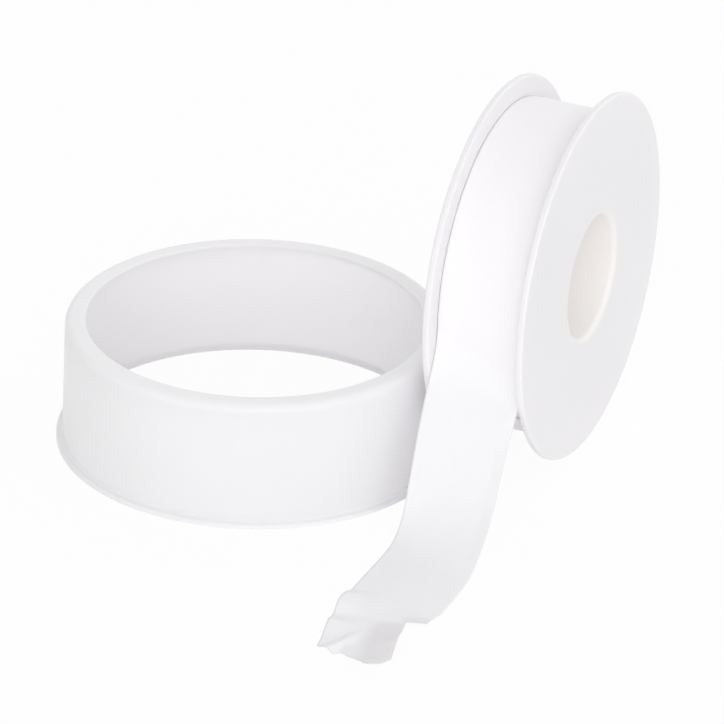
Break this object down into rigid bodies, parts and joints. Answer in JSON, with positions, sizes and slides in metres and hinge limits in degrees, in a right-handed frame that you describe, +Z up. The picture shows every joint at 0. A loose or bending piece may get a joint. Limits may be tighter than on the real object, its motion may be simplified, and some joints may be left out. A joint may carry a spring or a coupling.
{
  "type": "thread seal tape roll",
  "caption": "Thread seal tape wound on a flanged reel, with its free end hanging down onto the table and the slip-on cover ring lying beside it.",
  "frame": {"origin": "middle of the reel's through bore", "axes": "+X along the reel's axis towards the near flange, -Y towards the free end of the tape, +Z up"},
  "size_m": [0.0688, 0.0945, 0.05],
  "materials": {
    "reel_plastic": "satin",
    "cover_plastic": "satin",
    "tape_film": "soft matte",
    "tape_layers": "soft matte"
  },
  "bodies": {
    "tape_end": {"tape_outer_turn": "tape_film", "tape_tail": "tape_film"},
    "reel": {"reel": "reel_plastic", "tape_inner_layers": "tape_layers"},
    "cover": {"cover_ring": "cover_plastic"}
  },
  "joints": [
    {"name": "reel_spin", "type": "hinge", "parent": "tape_end", "child": "reel", "pos_m": [0, 0, 0], "axis": [1, 0, 0], "continuous": true},
    {"name": "cover_lift", "type": "slide", "parent": "tape_end", "child": "cover", "axis": [0, 0, 1], "range_m": [0, 0.055]}
  ]
}
